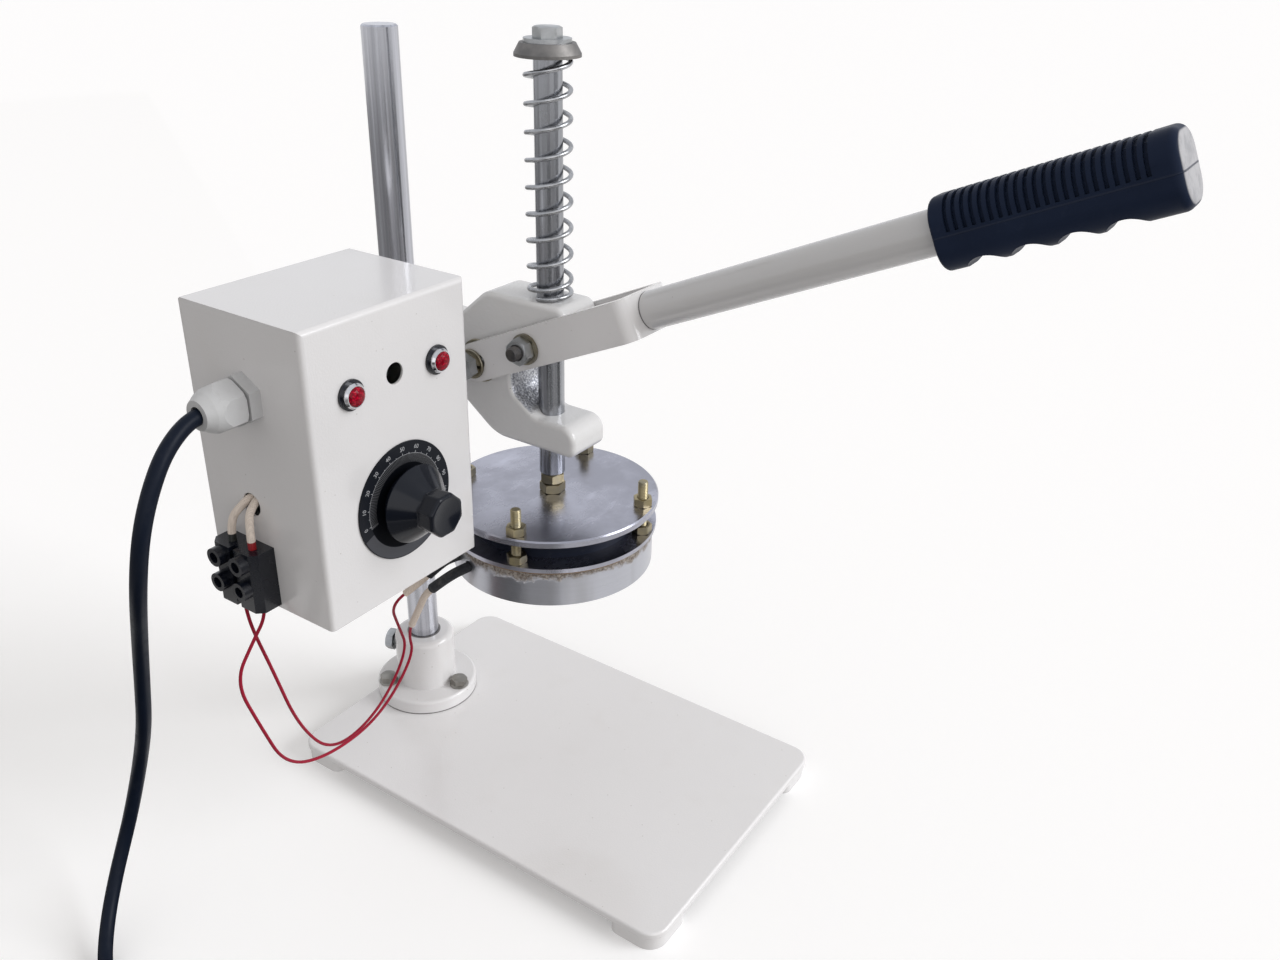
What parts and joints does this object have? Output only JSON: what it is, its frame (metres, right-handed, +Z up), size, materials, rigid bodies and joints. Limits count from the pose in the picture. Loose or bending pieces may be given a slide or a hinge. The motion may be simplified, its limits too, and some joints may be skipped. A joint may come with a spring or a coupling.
{
  "type": "hand-lever jar lid heat sealer",
  "caption": "Bench press on a round column: a hand lever pushes a sprung ram with a round heated platen down on a jar lid; a control box with dial, lamps and mains lead hangs beside the head.",
  "frame": {"origin": "on the ram's axis, at the top face of the base plate where the jar stands", "axes": "+Z up along the ram, +Y to the column at the back, +X to the right of the operator, who stands at -Y"},
  "size_m": [0.4939, 0.496, 0.4578],
  "materials": {
    "white_paint": "gloss",
    "grey_paint": "satin",
    "ground_steel": "polished",
    "zinc": "satin",
    "spring_steel": "satin",
    "yellow_zinc": "satin",
    "aluminium": "brushed",
    "black_plastic": "gloss",
    "regulator_case": "matte",
    "chrome": "polished",
    "red_lens": "gloss",
    "nylon": "satin",
    "grip_rubber": "matte",
    "black_cable": "satin",
    "red_wire": "satin",
    "cream_sleeve": "matte",
    "fibre": "matte",
    "release": "satin",
    "element": "matte"
  },
  "bodies": {
    "frame": {"base_plate": "white_paint", "column_socket": "white_paint", "socket_bolts": "zinc", "socket_set_bolt": "zinc", "column": "ground_steel", "cord_coil": "black_cable", "cord_tie": "black_cable", "plug_body": "black_plastic", "plug_pins": "yellow_zinc"},
    "head": {"head_casting": "white_paint", "head_clamp_bolts": "zinc", "fulcrum_bolt": "zinc", "fulcrum_nut": "zinc", "fulcrum_washers": "zinc", "box_spacers": "zinc", "box_bolts": "zinc", "box_shell": "white_paint", "box_cover": "white_paint", "cover_screws": "zinc", "lamp_washers": "black_plastic", "lamp_bezels": "chrome", "lamp_lenses": "red_lens", "dial_plate": "black_plastic", "regulator": "regulator_case", "gland_body": "nylon", "gland_locknut": "nylon", "gland_nut": "nylon", "terminal_block": "black_plastic", "terminal_screws": "zinc", "block_leads": "cream_sleeve", "red_wire_a": "red_wire", "red_wire_b": "red_wire", "cord_drop": "black_cable", "return_spring": "spring_steel"},
    "ram": {"ram_shaft": "ground_steel", "top_bolt": "zinc", "top_washer": "zinc", "spring_cup": "zinc", "ram_pin": "zinc", "ram_pin_washers": "zinc", "ram_pin_nut": "zinc", "heater_stud": "zinc", "jam_nuts": "yellow_zinc", "carrier_plate": "aluminium", "carrier_studs": "yellow_zinc", "carrier_nuts": "yellow_zinc", "insulating_disc": "black_plastic", "heater_cover": "aluminium", "fibre_gasket": "fibre", "heater_body": "aluminium", "heating_element": "element", "release_sheet": "release", "black_sleeves": "black_cable", "cream_sleeves": "cream_sleeve"},
    "lever": {"lever_fork": "white_paint", "lever_tube": "grey_paint", "grip": "grip_rubber"},
    "knob": {"knob": "black_plastic", "regulator_shaft": "ground_steel"}
  },
  "joints": [
    {"name": "head_slide", "type": "slide", "parent": "frame", "child": "head", "axis": [0, 0, 1], "range_m": [-0.03, 0.06], "deforming": ["cord_drop"]},
    {"name": "ram_slide", "type": "slide", "parent": "head", "child": "ram", "axis": [0, 0, -1], "range_m": [0, 0.035], "stiffness_N_per_m": 900, "springref_m": -0.04, "deforming": ["return_spring", "red_wire_a", "red_wire_b"]},
    {"name": "lever_hinge", "type": "hinge", "parent": "ram", "child": "lever", "pos_m": [0, 0, 0.2855], "axis": [1, 0, 0], "range_deg": [0, 48.8]},
    {"name": "knob_turn", "type": "hinge", "parent": "head", "child": "knob", "pos_m": [-0.1159, 0, 0.2347], "axis": [0, 1, 0], "range_deg": [0, 270]}
  ],
  "couplings": [
    {"joint": "lever_hinge", "follows": "ram_slide", "rad_per_m": 24.33}
  ]
}
